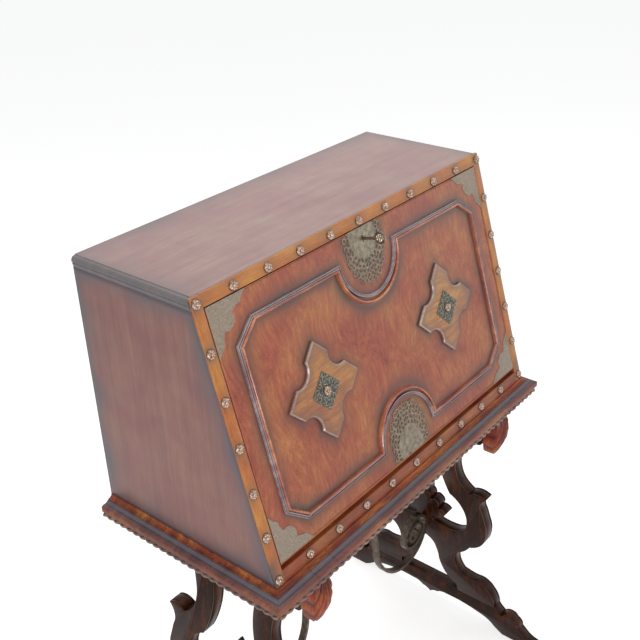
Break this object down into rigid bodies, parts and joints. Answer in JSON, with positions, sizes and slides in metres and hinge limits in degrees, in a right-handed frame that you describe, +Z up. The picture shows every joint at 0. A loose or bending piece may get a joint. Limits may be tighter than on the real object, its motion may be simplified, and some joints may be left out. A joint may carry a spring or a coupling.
{
  "type": "drop-front desk on a lyre trestle stand",
  "caption": "Drop-front writing desk with a sloping studded front and inner drawers, on a splayed lyre trestle stand with scrolled iron stretchers and pull-out supports.",
  "frame": {"origin": "on the floor under the middle of the stand", "axes": "+X to the right, +Y to the back, -Y to the front that opens, +Z up"},
  "size_m": [0.8324, 0.584, 1.174],
  "materials": {
    "walnut": "waxed, satin",
    "lipping": "waxed, satin",
    "trestle": "dark stained, satin",
    "shell": "polished",
    "interior": "waxed, satin",
    "bronze": "dull, aged",
    "nail": "aged, worn bright",
    "brass": "aged",
    "iron": "wrought, dull"
  },
  "bodies": {
    "case": {"case_side_left": "walnut", "case_side_right": "walnut", "case_bottom": "walnut", "case_back": "interior", "case_top": "walnut", "strike_plate": "brass", "edge_strip_top": "lipping", "edge_strip_bottom": "lipping", "edge_strip_left": "lipping", "edge_strip_right": "lipping", "rosette_nails": "nail", "pivot_pins": "iron", "base_moulding_left": "walnut", "base_moulding_right": "walnut", "base_moulding_front": "walnut", "rope_trim": "walnut", "base_back_rail": "walnut", "loper_guides": "interior", "gallery_shelf_lower": "interior", "gallery_shelf_upper": "interior", "gallery_partitions": "interior", "gallery_valances": "interior", "fall_stops": "interior", "left_leg_front": "trestle", "left_leg_rear": "trestle", "left_foot_rail": "trestle", "left_finial": "trestle", "left_top_rail": "trestle", "right_leg_front": "trestle", "right_leg_rear": "trestle", "right_foot_rail": "trestle", "right_finial": "trestle", "right_top_rail": "trestle", "iron_stretcher_left": "iron", "iron_stretcher_right": "iron", "stretcher_nails": "iron"},
    "fall": {"fall_panel": "walnut", "fall_moulding": "walnut", "plaque_left": "walnut", "plaque_right": "walnut", "plaque_plates": "bronze", "plaque_nails": "nail", "corner_plates": "bronze", "escutcheon": "bronze", "lower_plate": "bronze", "lock_case": "iron"},
    "bolt": {"lock_bolt": "iron"},
    "key": {"key": "brass"},
    "left_loper": {"loper_bar_left": "walnut", "loper_face_left": "walnut", "loper_shell_left": "shell"},
    "right_loper": {"loper_bar_right": "walnut", "loper_face_right": "walnut", "loper_shell_right": "shell"},
    "left_drawer": {"drawer_left": "interior", "drawer_knob_left": "brass"},
    "centre_drawer": {"drawer_centre": "interior", "drawer_knob_centre": "brass"},
    "right_drawer": {"drawer_right": "interior", "drawer_knob_right": "brass"}
  },
  "joints": [
    {"name": "fall_hinge", "type": "hinge", "parent": "case", "child": "fall", "pos_m": [0, -0.16857, 0.7355], "axis": [1, 0, 0], "range_deg": [0, 110.6]},
    {"name": "key_turn", "type": "hinge", "parent": "fall", "child": "key", "pos_m": [0, -0.06495, 1.13234], "axis": [0, -0.9624, 0.2715], "range_deg": [0, 90]},
    {"name": "bolt_slide", "type": "slide", "parent": "fall", "child": "bolt", "axis": [0, 0.2715, 0.9624], "range_m": [0, 0.012]},
    {"name": "left_loper_slide", "type": "slide", "parent": "case", "child": "left_loper", "axis": [0, -1, 0], "range_m": [0, 0.24]},
    {"name": "right_loper_slide", "type": "slide", "parent": "case", "child": "right_loper", "axis": [0, -1, 0], "range_m": [0, 0.24]},
    {"name": "left_drawer_slide", "type": "slide", "parent": "case", "child": "left_drawer", "axis": [0, -1, 0], "range_m": [0, 0.11]},
    {"name": "centre_drawer_slide", "type": "slide", "parent": "case", "child": "centre_drawer", "axis": [0, -1, 0], "range_m": [0, 0.11]},
    {"name": "right_drawer_slide", "type": "slide", "parent": "case", "child": "right_drawer", "axis": [0, -1, 0], "range_m": [0, 0.11]}
  ],
  "couplings": [
    {"joint": "key_turn", "follows": "bolt_slide", "rad_per_m": 130.9}
  ]
}
